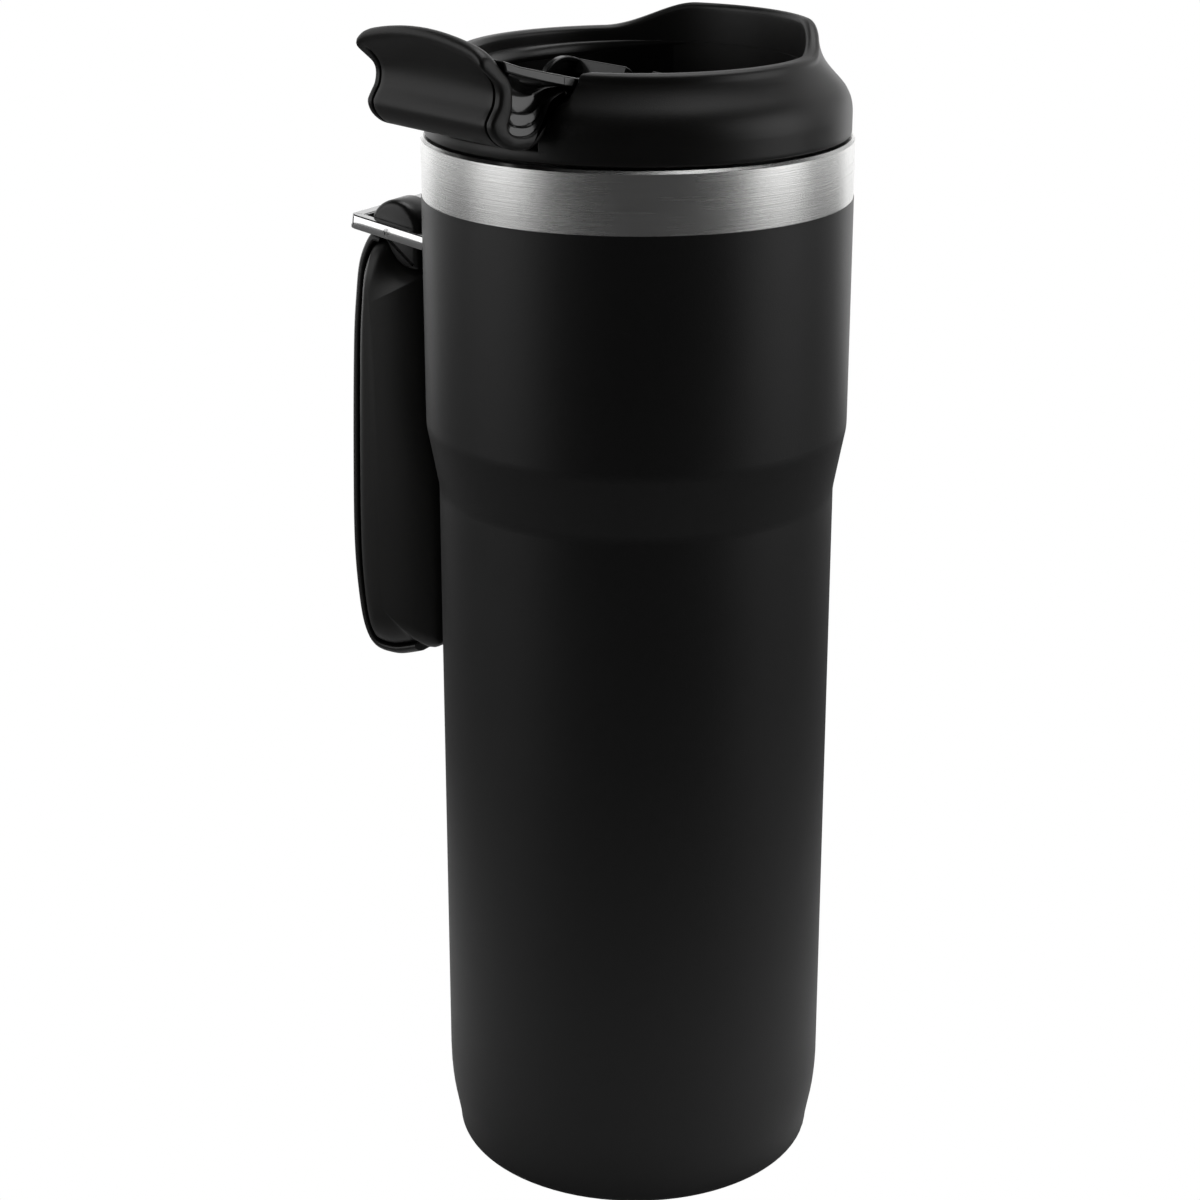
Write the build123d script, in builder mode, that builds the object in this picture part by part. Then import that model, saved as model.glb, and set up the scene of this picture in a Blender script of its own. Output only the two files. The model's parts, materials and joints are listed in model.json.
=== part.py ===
from build123d import *
import math
import os

# Insulated travel mug: vacuum cup, screw-in lid with a flip-up thumb lever, and a fold-out handle.
# The origin is the centre of the flat base and +Z runs up the cup's axis. Heights of the lid and the
# handle are counted from the steel mouth, through planes whose origin is the mouth's centre.
# The drinking lip faces -Y, the thumb lever +Y, and the handle stands beside +X.

# ---- Cup: driving dimensions, mm ----
MOUTH_Z = 200.7          # height of the steel mouth above the base
BAND_H = 10.9            # bare steel below the mouth
BAND_R = 39.0
UPPER_R = 39.1           # coated wall above the neck
LOWER_R = 36.9           # coated wall below the neck
NECK_TOP_Z = 147.3
NECK_FOOT_Z = 135.4
NECK_SOFTEN = 9.0        # radius that softens both creases of the neck
SHELL_T = 0.8
LINER_T = 0.7
LINER_UPPER_R = 36.3
LINER_LOWER_R = 34.2
LINER_FLOOR_Z = 5.0
FOOT_CORNER = 2.2        # small corner at the base
FOOT_RISE = 18.0         # height of the long curve above it
FOOT_IN = 1.8            # how far that curve comes in
BASE_R = 31.0
SEAL_AT = 18.0
BAND_Z = MOUTH_Z - BAND_H

# ---- Lid ----
LID_R = 38.4
LID_GAP = 0.4            # shadow gap between lid and mouth
RIM_R = 32.0
RIM_IN_R = 29.7
RIM_H = 15.0
LIP_H = 19.5
LIP_HALF = 16.5          # half width of the raised lip's level top
LIP_FADE = 11.5          # width over which the lip falls to the rim
SLOT_HALF = 17.3          # narrower than the lever's head, which hangs outside the lid's wall
SLOT_FLOOR = 3.0
DISH_R = 29.5
DISH_H = 12.4
FLOOR_TOP = -1.2
FLOOR_T = 1.8
PLUG_R = 35.1
PLUG_LOW = -20.0
PORT_R = 8.0
SCREW_PCR = 22.0

# ---- Lever and valve ----
HUB_Y = 2.3
HUB_H = 5.7
EAR_R = 6.15
EAR_IN = 17.3
EAR_T = 1.5
HUB_R = 2.2
AXLE_R = 1.2
LEVER_HALF = 18.0
LEVER_ARCH = 2.4         # rise of the flange at the middle of the lever
CAM_R = 2.4
CAM_OFFSET = 1.6
CAM_HALF = 3.0
STEM_R = 2.2
RUN_FIT = 0.06           # radial clearance of the running fits
VALVE_R = 9.5

# ---- Handle ----
HANDLE_AZ = 19.5         # degrees from +X
PIN_OUT = 46.3           # hinge pin's distance from the cup's axis
PIN_H = -20.8
PIN_R = 0.8
KNUCKLE_R = 5.6
TONGUE_HALF = 4.0
CORE_HALF = 11.0
RING_TILT = 9.0
RING_HALF = 13.5
RING_BAR = 2.3
RING_TALL = 2.7
RING_CORNER = 1.6
RING_OUT = 9.0           # outer face beyond the pin, along the tilted ring
RING_IN = 8.2            # inner ends of the ring's arms, short of the cup's wall
GRIP_HALF = 12.0
GRIP_IN = 40.5
GRIP_IN_LOW = 38.4       # the inner face follows the neck inward
GRIP_MID = (46.0, -65.0)
SPINE_T = 2.0
SPINE_GROOVE = 0.35

TURN = Plane(origin=(0, 0, MOUTH_Z), x_dir=(1, 0, 0), z_dir=(0, -1, 0))
SIDE = Plane(origin=(0, 0, MOUTH_Z), x_dir=(0, 1, 0), z_dir=(1, 0, 0))


def radial_plane(azimuth):
    """Upright plane through the cup's axis: x runs outward, y up from the mouth."""
    a = math.radians(azimuth)
    return Plane(origin=(0, 0, MOUTH_Z), x_dir=(math.cos(a), math.sin(a), 0),
                 z_dir=(math.sin(a), -math.cos(a), 0))


HANDLE = radial_plane(HANDLE_AZ)
PIN_PLACE = HANDLE.from_local_coords(Vector(PIN_OUT, PIN_H, 0))
OUTWARD = HANDLE.x_dir
TANGENT = HANDLE.z_dir


def outline(plane, points):
    """Closed polygon on a plane."""
    with BuildSketch(plane) as shape:
        with BuildLine():
            Polyline(*points, close=True)
        make_face()
    return shape.sketch


def cup_section(upper_r, lower_r, floor_z, top_z, corner):
    """Half section of a solid cup with a rounded foot and a softened neck."""
    foot_r = lower_r - FOOT_IN
    with BuildSketch(Plane.XZ) as shape:
        with BuildLine():
            base = Line((0, floor_z), (foot_r - corner, floor_z))
            toe = TangentArc(base @ 1, (foot_r, floor_z + corner), tangent=base % 1)
            rise = Bezier(toe @ 1, (foot_r + 0.3, floor_z + FOOT_RISE / 3),
                          (lower_r, floor_z + FOOT_RISE / 2), (lower_r, floor_z + FOOT_RISE))
            wall = FilletPolyline(rise @ 1, (lower_r, NECK_FOOT_Z), (upper_r, NECK_TOP_Z),
                                  (upper_r, top_z), radius=NECK_SOFTEN)
            Polyline(wall @ 1, (0, top_z), (0, floor_z))
        make_face()
    return shape.sketch


# =============== Cup ===============

with BuildPart() as outer_shell:
    revolve(cup_section(UPPER_R, LOWER_R, 0, BAND_Z, FOOT_CORNER), axis=Axis.Z)
    revolve(cup_section(UPPER_R - SHELL_T, LOWER_R - SHELL_T, SHELL_T, MOUTH_Z, FOOT_CORNER - SHELL_T),
            axis=Axis.Z, mode=Mode.SUBTRACT)
    with Locations((0, 0, SHELL_T / 2)):
        Cylinder(BASE_R, 2 * SHELL_T, mode=Mode.SUBTRACT)
outer_shell.part.label = "outer_shell"

with BuildPart() as mouth_band:
    revolve(outline(TURN, [(BAND_R, -BAND_H), (BAND_R, -0.5), (BAND_R - 0.5, 0), (LINER_UPPER_R, 0),
                           (LINER_UPPER_R, -SHELL_T), (BAND_R - SHELL_T, -SHELL_T),
                           (BAND_R - SHELL_T, -BAND_H)]), axis=Axis.Z)
mouth_band.part.label = "mouth_band"

with BuildPart() as inner_liner:
    revolve(cup_section(LINER_UPPER_R, LINER_LOWER_R, LINER_FLOOR_Z, MOUTH_Z, 5), axis=Axis.Z)
    revolve(cup_section(LINER_UPPER_R - LINER_T, LINER_LOWER_R - LINER_T, LINER_FLOOR_Z + LINER_T,
                        MOUTH_Z + 1, 5), axis=Axis.Z, mode=Mode.SUBTRACT)
inner_liner.part.label = "inner_liner"

with BuildPart() as base_plate:
    with BuildSketch():
        Circle(BASE_R)
        with Locations((SEAL_AT, 0)):
            Circle(1.5, mode=Mode.SUBTRACT)
    extrude(amount=SHELL_T)
base_plate.part.label = "base_plate"

with BuildPart() as vacuum_seal:
    with BuildSketch(Plane.XY.offset(SHELL_T)):
        with Locations((SEAL_AT, 0)):
            Circle(4)
    extrude(amount=1)
    fillet(vacuum_seal.edges().group_by(Axis.Z)[-1], 0.4)
vacuum_seal.part.label = "vacuum_seal"

# =============== Lid ===============


def lid_section(inset, top):
    """Half section of the lid's outer form, moved inward by inset: wall, shoulder and rim."""
    with BuildSketch(TURN) as shape:
        with BuildLine():
            wall = Line((LID_R - inset, LID_GAP), (LID_R - inset, 4.8 - inset / 2))
            shoulder = Spline(wall @ 1, (36.4 - inset, 9.4 - inset / 2), (33.6 - inset, 12.7 - inset / 2),
                              (RIM_R - inset, RIM_H + 0.8 - inset / 2), tangents=[(0, 1), (-0.12, 1)])
            Polyline(shoulder @ 1, (RIM_R - 0.25 - inset, top), (0, top), (0, LID_GAP), wall @ 0)
        make_face()
    return shape.sketch


with BuildPart() as lid_hollow:
    revolve(lid_section(2.2, RIM_H - 1.6), axis=Axis.Z)
    with Locations((0, 0, MOUTH_Z)):
        Cylinder(RIM_IN_R + 1.3, 40, mode=Mode.SUBTRACT)
    for side in (-1, 1):
        with Locations((side * (SLOT_HALF + 0.7), 34, MOUTH_Z + SLOT_FLOOR + 8.9)):
            Box(1.4, 24, 20, mode=Mode.SUBTRACT)
    with Locations((0, 34, MOUTH_Z + SLOT_FLOOR - 0.55)):
        Box(2 * SLOT_HALF + 2.8, 24, 1.1, mode=Mode.SUBTRACT)

with BuildPart() as lid_shell:
    revolve(lid_section(0, LIP_H), axis=Axis.Z)
    with BuildSketch(TURN):
        with BuildLine():
            Polyline((0, LIP_H + 1), (0, 0), (RIM_IN_R, 0), (RIM_IN_R, RIM_H), (RIM_IN_R - 0.3, LIP_H + 1),
                     close=True)
        make_face()
    revolve(axis=Axis.Z, mode=Mode.SUBTRACT)
    add(lid_hollow.part, mode=Mode.SUBTRACT)
    with BuildSketch(Plane(origin=(0, 0, MOUTH_Z), x_dir=(1, 0, 0), z_dir=(0, -1, 0))):
        with BuildLine():
            left = Bezier((-LIP_HALF - LIP_FADE, RIM_H), (-LIP_HALF - LIP_FADE / 2, RIM_H),
                          (-LIP_HALF - LIP_FADE / 2, LIP_H), (-LIP_HALF + 1, LIP_H))
            right = Bezier((LIP_HALF - 1, LIP_H), (LIP_HALF + LIP_FADE / 2, LIP_H),
                           (LIP_HALF + LIP_FADE / 2, RIM_H), (LIP_HALF + LIP_FADE, RIM_H))
            Line(left @ 1, right @ 0)
            Polyline(right @ 1, (45, RIM_H), (45, 30), (-45, 30), (-45, RIM_H), left @ 0)
        make_face()
    extrude(amount=45, mode=Mode.SUBTRACT)
    with Locations((0, 22.5, MOUTH_Z + RIM_H + 10)):
        Box(100, 45, 20, mode=Mode.SUBTRACT)
    with Locations((0, 40, MOUTH_Z + SLOT_FLOOR + 15)):
        Box(2 * SLOT_HALF, 40, 30, mode=Mode.SUBTRACT)
lid_shell.part.label = "lid_shell"

with BuildPart() as well_dish:
    with BuildSketch(TURN):
        with Locations((DISH_R / 2, (DISH_H + FLOOR_TOP - FLOOR_T) / 2)):
            Rectangle(DISH_R, DISH_H - FLOOR_TOP + FLOOR_T)
    revolve(axis=Axis.Z)
    with Locations((0, -1.9, MOUTH_Z + FLOOR_TOP + 20)):
        Cylinder(28.1, 40, mode=Mode.SUBTRACT)
    with Locations((0, 28, MOUTH_Z + SLOT_FLOOR + 10)):
        Box(2 * SLOT_HALF, 40, 20, mode=Mode.SUBTRACT)
    with BuildSketch(Plane.XY.offset(MOUTH_Z + FLOOR_TOP)):
        with Locations((0, -20)):
            SlotOverall(18, 6)
        with Locations((0, HUB_Y)):
            Circle(STEM_R + RUN_FIT)
        with Locations((10, -14)):
            Circle(1.0)
        with PolarLocations(SCREW_PCR, 3, start_angle=90):
            Circle(1.3)
    extrude(amount=-FLOOR_T, mode=Mode.SUBTRACT)
well_dish.part.label = "well_dish"

STOP_ANGLE = math.radians(115)
STOP = (math.cos(STOP_ANGLE), math.sin(STOP_ANGLE))

with BuildPart() as hinge_housing:
    for side in (-1, 1):
        with BuildSketch(SIDE.offset(side * EAR_IN)):
            with Locations((HUB_Y, HUB_H)):
                Circle(EAR_R)
            with Locations((HUB_Y, (HUB_H + FLOOR_TOP) / 2)):
                Rectangle(2 * EAR_R, HUB_H - FLOOR_TOP)
        extrude(amount=side * EAR_T)
    with BuildSketch(SIDE):
        with BuildLine():
            back = Line((HUB_Y + 3.3 * STOP[0], HUB_H + 3.3 * STOP[1]),
                        (HUB_Y + EAR_R * STOP[0], HUB_H + EAR_R * STOP[1]))
            front = RadiusArc(back @ 1, (HUB_Y - EAR_R, HUB_H), -EAR_R)
            Polyline(front @ 1, (HUB_Y - EAR_R, FLOOR_TOP), (HUB_Y - 4.6, FLOOR_TOP), (HUB_Y - 4.6, HUB_H),
                     back @ 0)
        make_face()
    extrude(amount=EAR_IN, both=True)
    with BuildSketch(SIDE):
        with Locations((HUB_Y, HUB_H)):
            Circle(CAM_R + CAM_OFFSET + 0.5)
    extrude(amount=CAM_HALF + 0.5, both=True, mode=Mode.SUBTRACT)
    with BuildSketch(SIDE):
        with Locations((HUB_Y, HUB_H)):
            Circle(AXLE_R)
    extrude(amount=EAR_IN + EAR_T, both=True, mode=Mode.SUBTRACT)
hinge_housing.part.label = "hinge_housing"

with BuildPart() as lid_plug:
    revolve(outline(TURN, [(PORT_R, PLUG_LOW), (PLUG_R, PLUG_LOW), (PLUG_R, LID_GAP), (36.1, LID_GAP),
                           (36.1, 1.8), (31.2, 1.8), (31.2, LID_GAP), (33, LID_GAP - 1.8),
                           (33, PLUG_LOW + 2), (PORT_R, PLUG_LOW + 2)]), axis=Axis.Z)
    for ridge in (-5.0, -8.5, -12.0):
        revolve(outline(TURN, [(PLUG_R - 0.2, ridge - 0.8), (PLUG_R + 0.35, ridge - 0.25),
                               (PLUG_R + 0.35, ridge + 0.25), (PLUG_R - 0.2, ridge + 0.8)]), axis=Axis.Z)
    with BuildSketch(Plane.XY.offset(MOUTH_Z + PLUG_LOW + 2)):
        with PolarLocations(SCREW_PCR, 3, start_angle=90):
            Circle(3)
    extrude(amount=FLOOR_TOP - FLOOR_T - PLUG_LOW - 2)
    with BuildSketch(Plane.XY.offset(MOUTH_Z + FLOOR_TOP - FLOOR_T)):
        with PolarLocations(SCREW_PCR, 3, start_angle=90):
            Circle(1.25)
    extrude(amount=-9, mode=Mode.SUBTRACT)
    with BuildSketch(TURN):
        with Locations((PLUG_R, -16.5)):
            Rectangle(1.6, 1.8)
    revolve(axis=Axis.Z, mode=Mode.SUBTRACT)
lid_plug.part.label = "lid_plug"

with BuildPart() as lid_gasket:
    with BuildSketch(TURN):
        with Locations((PLUG_R - 0.2, -16.5)):
            RectangleRounded(1.2, 1.6, 0.4)
    revolve(axis=Axis.Z)
lid_gasket.part.label = "lid_gasket"

with BuildPart() as lid_screws:
    with BuildSketch(Plane.XY.offset(MOUTH_Z + FLOOR_TOP)):
        with PolarLocations(SCREW_PCR, 3, start_angle=90):
            Circle(1.25)
    extrude(amount=-9)
    with BuildSketch(Plane.XY.offset(MOUTH_Z + FLOOR_TOP)):
        with PolarLocations(SCREW_PCR, 3, start_angle=90):
            Circle(2.4)
    extrude(amount=1.3)
    with BuildSketch(Plane.XY.offset(MOUTH_Z + FLOOR_TOP + 1.3)):
        with PolarLocations(SCREW_PCR, 3, start_angle=90):
            Rectangle(2.8, 0.6)
            Rectangle(0.6, 2.8)
    extrude(amount=-0.7, mode=Mode.SUBTRACT)
lid_screws.part.label = "lid_screws"

# =============== Lever ===============


def lever_skin(lift):
    """Section of the lever's outer skin: flange, finger trough, round bottom and inner leg."""
    with BuildSketch() as shape:
        with BuildLine():
            outer = Spline((46.8, 19.9 + lift), (47.9, 18.7 + lift), (45.0, 15.4 + lift * 0.6), (44.9, 11.6),
                           (46.6, 8.4), (45.6, 5.6), (42.4, 3.8), (38.6, 3.4), (35.2, 4.8), (34.0, 7.6),
                           (33.0, 9.8))
            inner = Spline((35.0, 8.8), (36.6, 6.8), (39.0, 5.9), (42.2, 6.5), (43.0, 8.0), (42.2, 10.6),
                           (42.3, 14.6), (44.2, 17.6 + lift))
            Line(outer @ 1, inner @ 0)
            Line(inner @ 1, outer @ 0)
        make_face()
    return shape.sketch


with BuildPart() as lever_skin_solid:
    for side in (-1, 1):
        with BuildSketch(SIDE):
            add(lever_skin(LEVER_ARCH))
        with BuildSketch(SIDE.offset(side * LEVER_HALF / 2)):
            add(lever_skin(LEVER_ARCH * 0.75))
        with BuildSketch(SIDE.offset(side * LEVER_HALF)):
            add(lever_skin(0))
        loft()

PLATE = [(HUB_Y, HUB_H + HUB_R), (HUB_Y + 2.4, HUB_H + 1.8), (HUB_Y + 5.5, HUB_H + 2.8), (26, 13.7),
         (35.4, 15.9), (43.6, 17.3), (43.0, 14.9), (35.4, 13.3), (26, 11.0), (12, 7.0), (HUB_Y + 1.5, HUB_H - 1.6)]

with BuildPart() as lever_frame:
    with BuildSketch(SIDE):
        with BuildLine():
            Polyline(*PLATE, close=True)
        make_face()
        with Locations((HUB_Y, HUB_H)):
            Circle(HUB_R)
    extrude(amount=EAR_IN - 0.4, both=True)
    with BuildSketch(SIDE):
        with BuildLine():
            Polyline((31, 14.85), (35.4, 15.9), (43.6, 17.3), (42.8, 14.6), (35.4, 13.3), (31, 12.2), close=True)
        make_face()
    extrude(amount=LEVER_HALF, both=True)
    with BuildSketch(SIDE):
        with BuildLine():
            Polyline((28, 11.9), (35.4, 14.0), (42.0, 15.2), (41.7, 10.5), (42.3, 8.2), (41.4, 7.0),
                     (38.8, 6.5), (37.0, 7.4), (35.4, 9.3), (32.2, 10.7), close=True)
        make_face()
    extrude(amount=LEVER_HALF - 5.5, both=True)
    with BuildSketch(SIDE):
        with Locations((HUB_Y - CAM_OFFSET, HUB_H)):
            Circle(CAM_R)
    extrude(amount=CAM_HALF, both=True)
    with BuildSketch(SIDE):
        with Locations((HUB_Y, HUB_H)):
            Circle(AXLE_R + RUN_FIT)
    extrude(amount=EAR_IN, both=True, mode=Mode.SUBTRACT)
    with BuildSketch(Plane.XY.offset(MOUTH_Z + 4)):
        with Locations((-8, 39), (8, 39)):
            Circle(1.0)
    extrude(amount=9, mode=Mode.SUBTRACT)
    add(lever_skin_solid.part, mode=Mode.SUBTRACT)
lever_frame.part.label = "lever_frame"

with BuildPart() as lever_screws:
    with BuildSketch(Plane.XY.offset(MOUTH_Z + 3.3)):
        with Locations((-8, 39), (8, 39)):
            Circle(1.0)
    extrude(amount=9.7)
lever_screws.part.label = "lever_screws"

with BuildPart() as lever_shell:
    add(lever_skin_solid.part)
    add(lever_screws.part, mode=Mode.SUBTRACT)
lever_shell.part.label = "lever_shell"

with BuildPart() as lever_axle:
    with BuildSketch(SIDE.offset(-EAR_IN - EAR_T)):
        with Locations((HUB_Y, HUB_H)):
            Circle(AXLE_R)
    extrude(amount=2 * (EAR_IN + EAR_T))
lever_axle.part.label = "lever_axle"

# =============== Valve ===============

STEM_TOP = HUB_H - CAM_R - 0.3
VALVE_TOP = PLUG_LOW - 1.0

with BuildPart() as valve_stem:
    with BuildSketch(Plane.XY.offset(MOUTH_Z + VALVE_TOP)):
        with Locations((0, HUB_Y)):
            Circle(STEM_R)
    extrude(amount=STEM_TOP - VALVE_TOP)
    with BuildSketch(Plane.XY.offset(MOUTH_Z + STEM_TOP - 1.2)):
        with Locations((0, HUB_Y)):
            Circle(3.6)
    extrude(amount=0.9)
valve_stem.part.label = "valve_stem"

with BuildPart() as valve_disc:
    with BuildSketch(Plane.XY.offset(MOUTH_Z + VALVE_TOP)):
        Circle(VALVE_R)
    extrude(amount=-1.6)
    fillet(valve_disc.edges().group_by(Axis.Z)[0], 0.6)
valve_disc.part.label = "valve_disc"

with BuildPart() as valve_seal:
    with BuildSketch(Plane.XY.offset(MOUTH_Z + VALVE_TOP)):
        Circle(VALVE_R - 0.1)
        Circle(PORT_R - 1.2, mode=Mode.SUBTRACT)
    extrude(amount=0.97)
valve_seal.part.label = "valve_seal"

SPRING_LOW = FLOOR_TOP + 0.3
SPRING_HIGH = STEM_TOP - 1.5

with BuildPart() as valve_spring:
    with BuildLine():
        coil = Helix(pitch=(SPRING_HIGH - SPRING_LOW) / 3, height=SPRING_HIGH - SPRING_LOW, radius=2.95,
                     center=(0, HUB_Y, MOUTH_Z + SPRING_LOW))
    with BuildSketch(Plane(origin=coil @ 0, z_dir=coil % 0)):
        Circle(0.25)
    sweep(path=coil, is_frenet=True)
valve_spring.part.label = "valve_spring"

# =============== Handle ===============

with BuildPart() as handle_bracket:
    with BuildSketch(radial_plane(HANDLE_AZ - 13)):
        with Locations((UPPER_R + 0.45, PIN_H)):
            Rectangle(0.9, 13)
    revolve(axis=Axis.Z, revolution_arc=26)
    with BuildSketch(HANDLE):
        with Locations((PIN_OUT, PIN_H)):
            Circle(4)
        with Locations(((PIN_OUT + UPPER_R + 0.5) / 2, PIN_H)):
            Rectangle(PIN_OUT - UPPER_R - 0.5, 5.2)
    extrude(amount=TONGUE_HALF, both=True)
    with BuildSketch(HANDLE):
        with Locations((PIN_OUT, PIN_H)):
            Circle(PIN_R + RUN_FIT)
    extrude(amount=TONGUE_HALF + 1, both=True, mode=Mode.SUBTRACT)
handle_bracket.part.label = "handle_bracket"

with BuildPart() as handle_pin:
    with BuildSketch(HANDLE.offset(-RING_HALF)):
        with Locations((PIN_OUT, PIN_H)):
            Circle(PIN_R)
    extrude(amount=2 * RING_HALF)
handle_pin.part.label = "handle_pin"

tilt = math.radians(RING_TILT)
RING_X = OUTWARD * math.cos(tilt) + Vector(0, 0, math.sin(tilt))
RING_UP = Vector(0, 0, math.cos(tilt)) - OUTWARD * math.sin(tilt)
RING_PLANE = Plane(origin=PIN_PLACE, x_dir=RING_X, z_dir=RING_UP)

with BuildPart() as handle_ring:
    with BuildSketch(RING_PLANE.offset(-RING_TALL / 2)):
        with Locations(((RING_OUT - RING_IN) / 2, 0)):
            Rectangle(RING_OUT + RING_IN, 2 * RING_HALF)
        fillet(vertices().group_by(Axis((0, 0, 0), tuple(RING_X)))[-1], RING_CORNER)
        with Locations(((RING_OUT - RING_IN - RING_BAR) / 2 - 1, 0)):
            Rectangle(RING_OUT + RING_IN - RING_BAR + 2, 2 * (RING_HALF - RING_BAR), mode=Mode.SUBTRACT)
    extrude(amount=RING_TALL)
    with BuildSketch(HANDLE):
        with Locations((PIN_OUT, PIN_H)):
            Circle(PIN_R)
    extrude(amount=RING_HALF + 1, both=True, mode=Mode.SUBTRACT)
handle_ring.part.label = "handle_ring"


def grip_face(inset):
    """Side outline of the grip: flat inner face, long outer curve, both drawn in by an inset."""
    kx = 1 - inset / 13.0
    kz = 1 - inset / 43.0
    curve = [(51.0, -22.6), (53.6, -22.1), (55.4, -24.6), (56.8, -28.4), (57.6, -34), (58.6, -44), (59.5, -64),
             (60.0, -84), (59.3, -96), (57.8, -103.4), (55.0, -106.9), (50.5, -107.5), (46, -106.4), (42.5, -104.9)]
    mid_x, mid_z = GRIP_MID
    points = [(mid_x + (x - mid_x) * kx, mid_z + (z - mid_z) * kz) for x, z in curve]
    with BuildSketch() as shape:
        with BuildLine():
            outer = Spline(*points)
            Polyline(outer @ 1, (GRIP_IN_LOW + 1.5, -103.6), (GRIP_IN_LOW, -101.5), (GRIP_IN_LOW, -70),
                     (GRIP_IN, -54), (GRIP_IN, -30), (GRIP_IN + 2.2, -27), outer @ 0)
        make_face()
    return shape.sketch


with BuildPart() as grip_core:
    for side in (-1, 1):
        with BuildSketch(HANDLE.offset(side * (TONGUE_HALF + 0.3))):
            with Locations((PIN_OUT, PIN_H)):
                Circle(KNUCKLE_R)
            with Locations((PIN_OUT, PIN_H - 3.5)):
                Rectangle(2 * KNUCKLE_R - 1.6, 7)
        extrude(amount=side * (CORE_HALF - TONGUE_HALF - 0.3))
    with BuildSketch(HANDLE):
        with Locations((PIN_OUT, PIN_H - 10)):
            Rectangle(2 * KNUCKLE_R - 1.6, 10)
    extrude(amount=CORE_HALF - 1.2, both=True)
    with BuildSketch(HANDLE):
        with Locations((PIN_OUT + 0.5, -65)):
            Rectangle(8, 72)
    extrude(amount=6, both=True)
    with BuildSketch(HANDLE):
        with Locations((PIN_OUT, PIN_H)):
            Circle(PIN_R)
    extrude(amount=CORE_HALF + 1, both=True, mode=Mode.SUBTRACT)
    with BuildSketch(HANDLE):
        with Locations((PIN_OUT, -50), (PIN_OUT, -90)):
            Circle(1.2)
    extrude(amount=CORE_HALF, both=True, mode=Mode.SUBTRACT)
grip_core.part.label = "grip_core"

with BuildPart() as grip_cavity:
    with BuildSketch(HANDLE):
        add(grip_face(3.6))
    extrude(amount=GRIP_HALF - 2.2, both=True)
    with BuildSketch(HANDLE):
        with Locations((GRIP_IN, -65)):
            Rectangle(4, 100)
    extrude(amount=GRIP_HALF, both=True, mode=Mode.SUBTRACT)
    with BuildSketch(HANDLE):
        with Locations((PIN_OUT, PIN_H - 5)):
            Rectangle(2 * KNUCKLE_R - 1.2, 22)
    extrude(amount=CORE_HALF + 0.05, both=True)
    with BuildSketch(HANDLE):
        with Locations((PIN_OUT, PIN_H)):
            Circle(KNUCKLE_R + 0.6)
    extrude(amount=GRIP_HALF + 1, both=True)


with BuildPart() as grip_shell_left:
    with BuildSketch(HANDLE):
        add(grip_face(SPINE_T + SPINE_GROOVE))
    extrude(amount=GRIP_HALF)
    fillet(grip_shell_left.faces().sort_by(Axis((0, 0, 0), tuple(TANGENT)))[-1].edges(), 0.8)
    add(grip_cavity.part, mode=Mode.SUBTRACT)
    with BuildSketch(HANDLE):
        with Locations((PIN_OUT, -50), (PIN_OUT, -90)):
            Circle(2.6)
    extrude(amount=GRIP_HALF - 2)
    with BuildSketch(HANDLE):
        with Locations((PIN_OUT, -50), (PIN_OUT, -90)):
            Circle(1.2)
    extrude(amount=GRIP_HALF - 3, mode=Mode.SUBTRACT)
    add(grip_core.part, mode=Mode.SUBTRACT)
grip_shell_left.part.label = "grip_shell_left"

with BuildPart() as grip_shell_right:
    mirror(grip_shell_left.part, about=HANDLE)
grip_shell_right.part.label = "grip_shell_right"

with BuildPart() as grip_spine:
    with BuildSketch(HANDLE):
        add(grip_face(0))
        add(grip_face(SPINE_T), mode=Mode.SUBTRACT)
        with Locations((GRIP_IN, -65)):
            Rectangle(8, 120, mode=Mode.SUBTRACT)
        with Locations((PIN_OUT, PIN_H)):
            Circle(KNUCKLE_R + 0.15, mode=Mode.SUBTRACT)
        with Locations((PIN_OUT, PIN_H - 5)):
            Rectangle(2 * KNUCKLE_R - 1.4, 12, mode=Mode.SUBTRACT)
    extrude(amount=GRIP_HALF - 1.2, both=True)
grip_spine.part.label = "grip_spine"

with BuildPart() as grip_screws:
    with BuildSketch(HANDLE):
        with Locations((PIN_OUT, -50), (PIN_OUT, -90)):
            Circle(1.2)
    extrude(amount=GRIP_HALF - 3, both=True)
grip_screws.part.label = "grip_screws"

os.makedirs("parts", exist_ok=True)
for piece in (outer_shell, mouth_band, inner_liner, base_plate, vacuum_seal, lid_shell, well_dish,
              hinge_housing, lid_plug, lid_gasket, lid_screws, lever_shell, lever_frame, lever_screws,
              lever_axle, valve_stem, valve_disc, valve_seal, valve_spring, handle_bracket, handle_pin,
              handle_ring, grip_core, grip_shell_left, grip_shell_right, grip_spine, grip_screws):
    export_step(piece.part, "parts/" + piece.part.label + ".step")
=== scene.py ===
import bpy
import bmesh
import json
import math
from mathutils import Matrix, Vector


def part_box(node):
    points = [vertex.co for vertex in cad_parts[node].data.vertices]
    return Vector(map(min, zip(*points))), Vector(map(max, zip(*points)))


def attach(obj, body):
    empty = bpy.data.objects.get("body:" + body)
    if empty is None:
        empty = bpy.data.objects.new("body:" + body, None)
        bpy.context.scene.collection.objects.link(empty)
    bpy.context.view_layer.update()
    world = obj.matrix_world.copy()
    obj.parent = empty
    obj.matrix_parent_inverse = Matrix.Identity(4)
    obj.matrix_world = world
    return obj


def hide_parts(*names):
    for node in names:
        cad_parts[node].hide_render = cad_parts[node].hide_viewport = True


# Looks of an insulated travel mug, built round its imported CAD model. Sizes are in mm, and heights count from
# the top of the steel mouth. The camera, the lights and the floor are in metres, and count from the base.

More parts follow.
